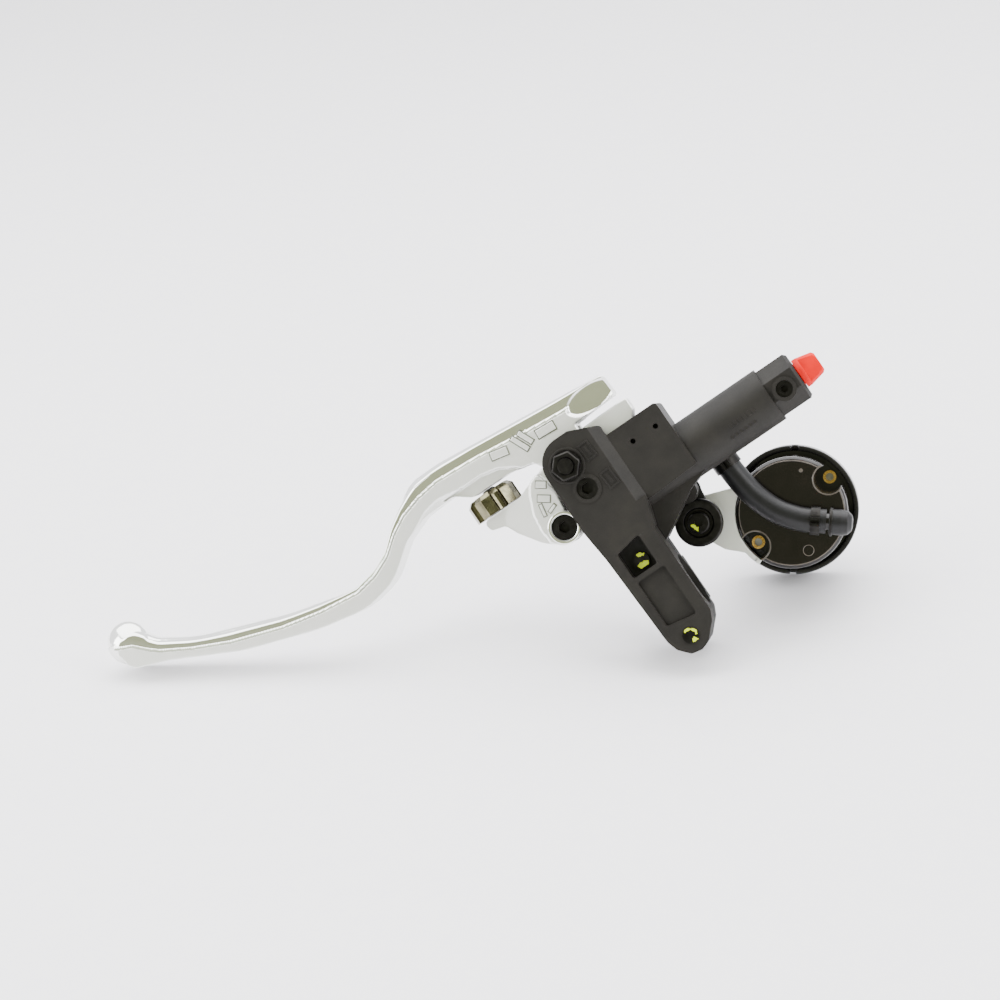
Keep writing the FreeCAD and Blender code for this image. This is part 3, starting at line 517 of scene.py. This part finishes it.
blade_top = edge_heights("lever_blade", blade_low.x, blade_high.x)


def top_of_blade(x):
    """Top edge between the two nearest rays; root_top where neither met the blade."""
    place = min(max(x - blade_low.x, 0.0), len(blade_top) - 1.001)
    low = int(place)
    pair = [h for h in blade_top[low:low + 2] if h is not None] or [root_top]
    return pair[0] + (pair[-1] - pair[0]) * (place - low)


def side_distance(node, x, z):
    """How far a CAD piece reaches from the middle plane towards the camera's side, at one place."""
    start = to_row @ Vector((x, -ray_start, z))
    _, place, _, _ = frame["nodes"][node].ray_cast(start, bar_y)
    return -(to_bar @ place).y


flank = side_distance("lever_blade", -40.0, 81.0)
print("blade from x %.1f to %.1f mm, %.1f mm thick" % (blade_low.x, blade_high.x, 2 * flank))

# %% [markdown]
# The step line starts low on the thick root, follows the bend, and rises over the ball at
# the tip, where it leaves the wide flange that stops a finger from sliding off. Under the
# root the flank is hollowed for the adjuster wheel, and a polished oval is ground in the
# flank next to the return stop.

# %% Lines on the blade's flank
skin_pitch = 0.4
snap = 0.6 * skin_pitch
face_band = 1.0
step_depth = 1.3
ramp_width = 1.2
hollow_depth = 3.2
bevel_slope = 0.25
step_line = [(30.0, 79.0), (6.0, 80.2), (-9.0, 81.6), (-30.0, 84.2), (-48.0, 85.4), (-57.0, 84.2),
             (-66.0, 81.6), (-73.0, 77.8), (-80.0, 72.4), (-88.0, 69.0), (-97.0, 67.4), (-113.0, 69.4),
             (-129.0, 72.9), (-149.0, 79.6), (-163.0, 86.0), (-174.0, 92.2), (-178.0, 95.6),
             (-182.0, 99.6), (-190.0, 103.4), (-195.0, 104.0)]
strip_widths = [(30.0, 3.2), (-9.0, 3.0), (-57.0, 1.6), (-80.0, 0.8), (-190.0, 0.4)]
hollow_line = [(-13.0, 64.0), (-16.0, 68.4), (-20.0, 72.2), (-25.6, 75.6), (-34.0, 77.4), (-42.0, 77.4),
               (-50.0, 77.0)]
bevel_line = [(-43.0, 77.6), (-51.5, 78.9), (-58.0, 77.9), (-65.0, 74.4), (-72.0, 69.0), (-80.0, 60.0)]
oval_centre = Vector((18.4, 78.0))
oval_size = Vector((10.9, 5.1))
oval_depth = 1.7
oval_rim = 0.12


# %% [markdown]
# One function then decides where each point of the skin goes. It also says which finish the point takes: 0 for the
# tumbled forging, 1 for buffed metal, 2 for the ramp between them, whose darker colour is painted shade along the
# foot of the step. The flat strip above the ramp widens towards the root, and is what mirrors the dim side of the
# room.

# %% Grind the front of the blade round
def on_round_front(y, rise, room):
    """Moves a point of a square section onto the round one with the same height."""
    across = max(-1.0, min(1.0, y / flank))
    along = max(0.0, min(1.0, rise / room))
    width = flank - step_depth
    return (width * across * math.sqrt(1.0 - along ** 4 / 2.0),
            room * along * math.sqrt(1.0 - abs(across) ** 4 / 2.0))


def under(line, x, z):
    return line[-1][0] < x < line[0][0] and z < on_line(line, x)


def shape_blade(point):
    x, y, z = point
    foot = on_line(step_line, x)
    step = foot + on_line(strip_widths, x)
    side = math.copysign(1.0, y)
    away = Vector(((x - oval_centre.x) / oval_size.x, (z - oval_centre.y) / oval_size.y))
    sunk = min(1.0, (1.0 - away.length) / oval_rim)
    on_face = abs(y) > flank - face_band
    if sunk > 0.0 and on_face:
        shallow = step_depth if z >= foot else 0.0
        return Vector((x, side * (flank - shallow - (oval_depth - shallow) * sunk), z)), 1
    for edge in (foot - ramp_width, foot):
        if abs(z - edge) < snap:
            z = edge
    if z >= step:
        y, rise = on_round_front(y, z - step, max(1.0, top_of_blade(x) - step))
        return Vector((x, y, step + rise)), 1
    if on_face:
        if z >= foot:
            return Vector((x, side * (flank - step_depth), z)), 1
        # The ramp takes the darker groove metal, whose colour is painted shade at the foot of the step.
        if z >= foot - ramp_width:
            climb = 1.0 - (foot - z) / ramp_width
            return Vector((x, side * (flank - step_depth * climb), z)), 2
        if under(hollow_line, x, z):
            return Vector((x, side * (flank - hollow_depth), z)), 0
        if under(bevel_line, x, z):
            fall = 1.0 + on_line(bevel_line, x) - z
            return Vector((x, side * (flank - bevel_slope * fall), z)), 0
    return Vector((x, y, z)), 0


def shaped(piece, shape):
    """Moves every point by a shape function, and lets it say which material each face takes."""
    kinds = []
    for vertex in piece.data.vertices:
        vertex.co, kind = shape(vertex.co)
        kinds.append(kind)
    for face in piece.data.polygons:
        votes = [kinds[i] for i in face.vertices]
        face.material_index = max(set(votes), key=votes.count)
    return piece


blade_metals = [tumbled, polished, painted_shade_metal]
blade = shaped(fine_skin("lever_blade", "forged_lever_blade", "lever_blade", skin_pitch, blade_metals),
               shape_blade)
settle(blade)
print("blade skin faces:", len(blade.data.polygons))

# %% [markdown]
# ## Small raised shapes
# Castings and forgings carry raised pads, rims and rings a few tenths of a millimetre
# high. A relief in the material could only fake them, and they would vanish from the
# side. So each one is drawn as an outline on the flank and given a thickness. A pad needs
# one outline. A ring or a frame needs two, an outer and an inner one with as many points.


# %% Pads and rings
def on_flank(a, b, height):
    """Outline point and height to a bar point, for shapes that lie flat on the x-z plane."""
    return Vector((a, height, b))


def new_piece(name, body, material, points, faces, edge_mm):
    mesh = bpy.data.meshes.new(name)
    mesh.from_pydata([to_row @ p for p in points], [], faces)
    work = bmesh.new()
    work.from_mesh(mesh)
    bmesh.ops.recalc_face_normals(work, faces=work.faces)
    work.to_mesh(mesh)
    work.free()
    piece = bpy.data.objects.new(name, mesh)
    bpy.context.scene.collection.objects.link(piece)
    mesh.materials.append(material)
    if edge_mm:
        bevel = piece.modifiers.new("soft_edge", "BEVEL")
        bevel.width = edge_mm * MM
        bevel.segments = 2
        bevel.limit_method = "ANGLE"
    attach(piece, body)
    return piece


def pad(name, body, material, outline, low, high, edge_mm=0.12, place=on_flank):
    count = len(outline)
    points = [place(a, b, h) for h in (low, high) for a, b in outline]
    sides = [(i, (i + 1) % count, count + (i + 1) % count, count + i) for i in range(count)]
    faces = sides + [tuple(range(count)), tuple(range(2 * count - 1, count - 1, -1))]
    return new_piece(name, body, material, points, faces, edge_mm)


def band(name, body, material, loops, edge_mm=0.12, place=on_flank):
    """Closed ring whose section runs through outlines at given heights and back to the first."""
    count = len(loops[0][0])
    rows = len(loops)
    points = [place(a, b, h) for outline, h in loops for a, b in outline]
    faces = [(k * count + i, k * count + (i + 1) % count, (k + 1) % rows * count + (i + 1) % count,
              (k + 1) % rows * count + i) for k in range(rows) for i in range(count)]
    return new_piece(name, body, material, points, faces, edge_mm)


def ring(name, body, material, outer, inner, low, high, edge_mm=0.12):
    loops = [(outer, low), (outer, high), (inner, high), (inner, low)]
    return band(name, body, material, loops, edge_mm)


def circle(x, z, radius, count=48):
    return [(x + radius * math.cos(2 * math.pi * i / count), z + radius * math.sin(2 * math.pi * i / count))
            for i in range(count)]


def slanted_box(x, z, width, height, turn):
    """Corners of a rectangle about its centre, turned by degrees."""
    c, s = math.cos(math.radians(turn)), math.sin(math.radians(turn))
    corners = [(i * width / 2, j * height / 2) for i, j in ((-1, -1), (1, -1), (1, 1), (-1, 1))]
    return [(x + a * c - b * s, z + a * s + b * c) for a, b in corners]


# %% [markdown]
# The flank of the lever has raised pads by the pivot. On a real lever they carry the forge's marks; here they are
# left blank. The corner around a pad lies in shade, so a thin edge in the darker groove metal is drawn round each
# of them as painted shade. The carrier has the same kind of pads, and one helper makes both.

# %% Pads on the lever's flank
def blank_pad(names, number, body, place, face, sizes):
    """Blank pad with an edge line in painted shade. The place is x, z, width, height and turn; the sizes are how
    far pad and edge rise, how wide the edge is, and how much the pad's rim is broken."""
    x, z, width, height, turn = place
    rise, edge_rise, margin, broken = sizes
    pad("%s_%d" % (names[0], number), body, tumbled, slanted_box(*place),
        face + 0.2, face - rise, broken)
    ring("%s_%d" % (names[1], number), body, painted_shade_metal,
         slanted_box(x, z, width + margin, height + margin, turn),
         slanted_box(x, z, width - 0.1, height - 0.1, turn), face + 0.2, face - edge_rise, 0.06)


blank_marks = [(-22.0, 80.0, 6.6, 3.0, -12.0), (-13.4, 78.6, 1.7, 7.6, 24.0), (-10.4, 79.4, 1.7, 6.4, 24.0),
               (-2.4, 77.4, 7.4, 3.2, -4.0)]
lever_pad_names = ("lever_flank_pad", "lever_flank_shade_line")
for number, place in enumerate(blank_marks, 1):
    blank_pad(lever_pad_names, number, "lever_blade", place, -flank, (0.45, 0.25, 0.9, 0.15))
print("pads on the lever:", len(blank_marks))

# %% [markdown]
# ## The carrier
# The carrier pushes the piston. It is a tumbled casting: a raised rib runs down from the
# pivot to the round boss that holds the cross pin, and the fan behind the rib is lower.
# A boolean could cut the fan down, but the real one falls away gently, so its skin is
# moved inwards, further the farther a point lies from the rib.

# %% Lower the fan behind the rib
rib_line = [(-17.6, 68.0), (-18.0, 65.4), (-21.5, 60.2), (-24.4, 53.1), (-25.2, 46.7), (-24.6, 40.0)]
trunnion = bar_point(joint["trunnion_turn"]["pos_m"])
carrier_flank = bar_box("trunnion_pin")[1].y + 0.3
fan_step = 0.7
fan_fall = 0.9
fan_run = 12.0


def rib_edge(z):
    return on_line([(b, a) for a, b in rib_line], z)


def shape_carrier(point):
    x, y, z = point
    if abs(y) > carrier_flank - 0.6 and z < rib_line[0][1] and x < rib_edge(z):
        away = min(1.0, (rib_edge(z) - x) / fan_run)
        return Vector((x, math.copysign(carrier_flank - fan_step - fan_fall * away, y), z)), 0
    return Vector(point), 0


carrier = shaped(fine_skin("lever_carrier", "cast_lever_carrier", "lever_carrier", 0.35, [tumbled]),
                 shape_carrier)
settle(carrier)
ring("carrier_boss_rim", "lever_carrier", polished,
     circle(trunnion.x, trunnion.z, 6.3), circle(trunnion.x, trunnion.z, 5.0),
     -carrier_flank + 0.2, -carrier_flank - 0.7, 0.3)
ring("carrier_dot_mark", "lever_carrier", tumbled, circle(-28.0, 49.5, 2.1),
     circle(-28.0, 49.5, 1.7), -carrier_flank + 2.2, -carrier_flank + 1.1, 0.08)
carrier_marks = [(-15.6, 61.4, 3.8, 2.4, -35.0), (-17.6, 56.4, 4.6, 2.4, -35.0),
                 (-20.4, 53.0, 1.0, 4.6, -10.0), (-17.0, 51.6, 3.4, 0.9, 20.0)]
carrier_pad_names = ("carrier_mark", "carrier_mark_shade_line")
for number, place in enumerate(carrier_marks, 1):
    blank_pad(carrier_pad_names, number, "lever_carrier", place, -carrier_flank, (0.4, 0.2, 0.8, 0.1))
print("carrier flank %.1f mm from the middle plane" % carrier_flank)

# %% [markdown]
# ## The reach adjuster wheel
# The wheel is cut from five-sided bar, and a round cutter has run down the middle of each
# side. So every tooth is a corner of the bar, with two flat faces that flash in turn. Five
# boolean cuts would do the same, but leave ragged faces: one outline, worked out from the
# bar and the cutter and pulled up along the spindle, keeps every edge clean.

# %% Five-sided wheel
wheel_low, wheel_high = bar_box("adjuster_wheel")
wheel_centre = (wheel_low + wheel_high) / 2
wheel_radius = (wheel_high.y - wheel_low.y) / 2
wheel_bore = bar_box("adjuster_spindle")[1].y + 0.05
wheel_sides = 5
cutter_radius = 2.3
cutter_reach = 8.9
wheel_chamfer = 1.7


def wheel_outline():
    """Corner, then the round cut with a leaning flat on either side of it, five times round."""
    corner = math.pi / wheel_sides
    flat_distance = wheel_radius * math.cos(corner)
    spread = math.acos((cutter_reach - flat_distance) / cutter_radius)
    points = []
    for side in range(wheel_sides):
        c, s = math.cos(2 * math.pi * side / wheel_sides), math.sin(2 * math.pi * side / wheel_sides)
        run = [(flat_distance, -wheel_radius * math.sin(corner))]
        for k in range(9):
            t = math.pi - (1 - k / 4) * (math.pi - spread)
            run.append((cutter_reach + cutter_radius * math.cos(t), -cutter_radius * math.sin(t)))
        points += [(a * c - b * s, a * s + b * c) for a, b in run]
    return points


def on_wheel(a, b, height):
    return Vector((wheel_centre.x + a, b, height))


teeth = wheel_outline()
bore = [(wheel_bore * a / math.hypot(a, b), wheel_bore * b / math.hypot(a, b)) for a, b in teeth]
crown = [(a * (1 - wheel_chamfer / wheel_radius), b * (1 - wheel_chamfer / wheel_radius)) for a, b in teeth]
wheel_loops = [(teeth, wheel_low.z), (teeth, wheel_high.z - wheel_chamfer), (crown, wheel_high.z),
               (bore, wheel_high.z), (bore, wheel_low.z)]
wheel = band("reach_adjuster_wheel", "adjuster_wheel", dark_nickel, wheel_loops, 0.3,
             on_wheel)
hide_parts("adjuster_wheel")
print("wheel outline points:", len(teeth))

# %% [markdown]
# ## Rims and frames on the body
# The front ear has a raised ring around the pivot nut and two raised frames beside it.
# They are part of the same black casting, so they take its finish and only the light on
# their edges shows them.

# %% Raised shapes on the front ear
ear_front = bar_box("pivot_nut")[1].y
frame_turn = 4.0
frame_rim = 0.65
frame_places = [(6.9, 61.8, 4.6, 7.0), (8.1, 48.7, 4.6, 7.2)]
ring("pivot_nut_ring", "master_cylinder", black_epoxy, circle(pivot.x, pivot.z, 6.9),
     circle(pivot.x, pivot.z, 5.9), ear_front + 0.2, ear_front - 0.5, 0.2)
for number, (x, z, width, height) in enumerate(frame_places, 1):
    ring("ear_frame_%d" % number, "master_cylinder", black_epoxy,
         slanted_box(x, z, width, height, frame_turn),
         slanted_box(x, z, width - 2 * frame_rim, height - 2 * frame_rim, frame_turn),
         ear_front + 0.2, ear_front - 0.4)
    pad("ear_frame_bar_%d" % number, "master_cylinder", black_epoxy,
        slanted_box(x, z, 1.1, height - 3.0, frame_turn), ear_front + 0.2, ear_front - 0.3, 0.1)

# %% [markdown]
# ## Torque marks
# When the factory has tightened a screw, it dabs yellow paint across its head. Paint could
# be a mask in the screw's material, but a dab also bridges onto the casting next to it. So
# each dab is a thin crescent with a wavering edge, a tenth of a millimetre thick.


# %% Dabs of marker paint
dab_steps = 13


def crescent(x, z, inner, outer, start, end):
    """Outline of an arc of paint from one angle to another, with a wavering edge."""
    turns = [math.radians(start + (end - start) * i / dab_steps) for i in range(dab_steps + 1)]
    far = [outer + 0.22 * math.sin(5.0 * t) + 0.12 * math.sin(11.0 * t) for t in turns]
    near = [inner + 0.18 * math.sin(7.0 * t + 1.0) for t in turns]
    edge = [(x + r * math.cos(t), z + r * math.sin(t)) for r, t in zip(far, turns)]
    back = [(x + r * math.cos(t), z + r * math.sin(t)) for r, t in zip(near, turns)]
    return edge + back[::-1]


def paint(name, x, z, inner, outer, start, end, surface):
    pad(name, "master_cylinder", marker_paint, crescent(x, z, inner, outer, start, end),
        surface + 0.1, surface - 0.1, 0.0)


screw_ends = bar_box("clamp_screws")
bolt_head = bar_box("bracket_bolt")
bolt = (bolt_head[0] + bolt_head[1]) / 2
screw_head_radius = 5.0
far_screw_z = screw_ends[0].z + screw_head_radius
window_screw_end = -10.2
paint("paint_on_end_screw", 0.0, far_screw_z, 2.0, 2.9, -20.0, 120.0, screw_ends[0].y)
paint("paint_below_end_screw", 0.4, far_screw_z, 1.2, 2.9, 250.0, 300.0, screw_ends[0].y)
paint("paint_on_bracket_bolt", bolt.x, bolt.z, 1.6, 2.9, 160.0, 235.0, bolt_head[0].y)
paint("paint_in_window_low", 0.0, -far_screw_z, 0.7, 2.7, 200.0, 330.0, window_screw_end)
paint("paint_in_window_high", 0.4, -far_screw_z, 1.6, 2.9, 40.0, 110.0, window_screw_end)
print("paint dabs on the bracket bolt at x %.1f, z %.1f mm" % (bolt.x, bolt.z))

# %% [markdown]
# ## The reservoir from below
# The pot is moulded in smoked nylon. Its bottom edge and the two hollows for the lid screws are finished with a
# raised bead. The beads are coloured a paler nylon than the pot, a painted highlight that makes them the brightest
# line on it. A bead could be a swept curve; here it is a strip along an arc, because a flat strip lies true on the
# flat bottom.


# %% Beads and marks on the pot
def arc_strip(x, z, radius, width, start, end, points):
    """Outline of a strip along a circle, between two angles in degrees."""
    turns = [math.radians(start + (end - start) * i / (points - 1)) for i in range(points)]
    far, near = ([(x + r * math.cos(t), z + r * math.sin(t)) for t in turns]
                 for r in (radius + width / 2, radius - width / 2))
    return far + near[::-1]


def on_pot(name, outline, rise, depth=0.2, edge_mm=0.1):
    """A low shape on the bottom of the pot, in paler nylon as a painted highlight."""
    pad(name, "master_cylinder", painted_highlight_nylon, outline, pot_bottom + depth,
        pot_bottom - rise, edge_mm)


lid_overlap = 3.8
insert_radius = 2.6
hollow_radius = 5.4
hollow_half_turn = 108.0
pot_bottom = bar_box("reservoir_pot")[0].y
lid_low, lid_high = bar_box("reservoir_lid")
pot_x, pot_z = (lid_low.x + lid_high.x) / 2, (lid_low.z + lid_high.z) / 2
pot_radius = lid_high.x - pot_x - lid_overlap
insert_low, insert_high = bar_box("brass_inserts")
hollows = [(insert_high.x - insert_radius, insert_high.z - insert_radius),
           (insert_low.x + insert_radius, insert_low.z + insert_radius)]
for number, (x, z) in enumerate(hollows, 1):
    inward = math.degrees(math.atan2(pot_z - z, pot_x - x))
    around_hollow = arc_strip(x, z, hollow_radius + 0.5, 0.7, inward - hollow_half_turn,
                              inward + hollow_half_turn, 28)
    along_edge = arc_strip(pot_x, pot_z, pot_radius - 1.5, 0.5, inward + 197, inward + 343, 60)
    on_pot("pot_hollow_highlight_bead_%d" % number, around_hollow, 0.15, 0.3, 0.25)
    on_pot("pot_edge_highlight_bead_%d" % number, along_edge, 0.1, 0.5, 0.2)
# The two marks take the same paler nylon, a painted highlight.
round_mark = (51.5, -16.2)
ring("pot_round_mark", "master_cylinder", painted_highlight_nylon, circle(*round_mark, 2.2),
     circle(*round_mark, 1.9), pot_bottom + 0.2, pot_bottom - 0.1, 0.08)
on_pot("pot_dot_mark", circle(66.3, 10.9, 0.8, 20), 0.15)
print("pot of radius %.1f mm at x %.1f, z %.1f mm" % (pot_radius, pot_x, pot_z))

# %% [markdown]
# ## The end of the hose
# The hose ends in a moulded sleeve that covers the spigot's elbow, with one wire around
# it. Both are round about the hose's last stretch, so both are turned from a section, as on
# a lathe.


# %% Sleeve and wire
def lathe(name, material, profile, origin, direction):
    """Round piece from (distance, radius) pairs along a direction; the section is closed."""
    side = direction.orthogonal().normalized()
    other = direction.cross(side)
    loops = [(circle(0.0, 0.0, radius), distance) for distance, radius in profile]

    def on_axis(a, b, height):
        return origin + direction * height + side * a + other * b
    return band(name, "master_cylinder", material, loops, 0.15, on_axis)


spigot_radius = 4.3
spigot_low, spigot_high = bar_box("reservoir_spigot")
elbow = Vector((spigot_high.x - spigot_radius, spigot_low.y + spigot_radius, spigot_low.z + spigot_radius))
along_hose = Vector((0.789, 0.0, -0.614))
lathe("hose_end_sleeve", epdm,
      [(-4.4, 4.45), (-4.4, 4.95), (0.0, 5.0), (2.6, 4.6), (4.2, 3.2), (4.7, 1.4), (4.5, 0.3), (4.4, 0.3)],
      elbow, along_hose)
lathe("hose_end_wire", black_oxide,
      [(-4.2, 4.9), (-4.2, 5.5), (-3.2, 5.5), (-3.2, 4.9)], elbow, along_hose)

# %% [markdown]
# The barrel carries two rows of casting marks. They are left blank here: short bars, a
# millimetre wide, that only say where the marks would be. Each bar stands on the round
# wall, so its height is worked out from how far the row lies below the barrel's axis.

# %% Blank marks on the barrel
barrel_z = sum(corner.z for corner in bar_box("outlet_plug")) / 2
barrel_radius = 11.0
mark_pitch = 2.0
for row, (start, drop) in enumerate(((56.0, 1.6), (54.0, 5.2)), 1):
    wall = -math.sqrt(barrel_radius ** 2 - drop ** 2)
    for number in range(6):
        bar = slanted_box(start + mark_pitch * number, barrel_z - drop, 1.1, 1.9, 8.0)
        pad("barrel_mark_%d_%d" % (row, number + 1), "master_cylinder", black_epoxy,
            bar, wall + 0.6, wall - 0.22, 0.08)

# %% [markdown]
# ## Last finishes
# Some pieces share a slot with others but left the workshop with another finish, and the
# pieces that catch the light still need their edges broken, each by its own width.

# %% Finishes that differ from the slot's usual one
for node in ("pivot_nut", "pivot_bolt"):
    dress(node, black_oxide)
dress("reservoir_spigot", smoked_nylon)
dress("reservoir_strap", tumbled)
broken_widths = {
    "pivot_nut": 0.3, "pivot_bolt": 0.3, "reservoir_pot": 0.5, "reservoir_lid": 0.5, "outlet_plug": 0.4,
    "bracket_arm": 0.4, "reservoir_strap": 0.3, "eye_washer": 0.4, "bracket_bolt": 0.3,
    "adjuster_spindle": 0.2, "inlet_elbow": 0.4,
}
for node, width in broken_widths.items():
    break_edges(node, width)
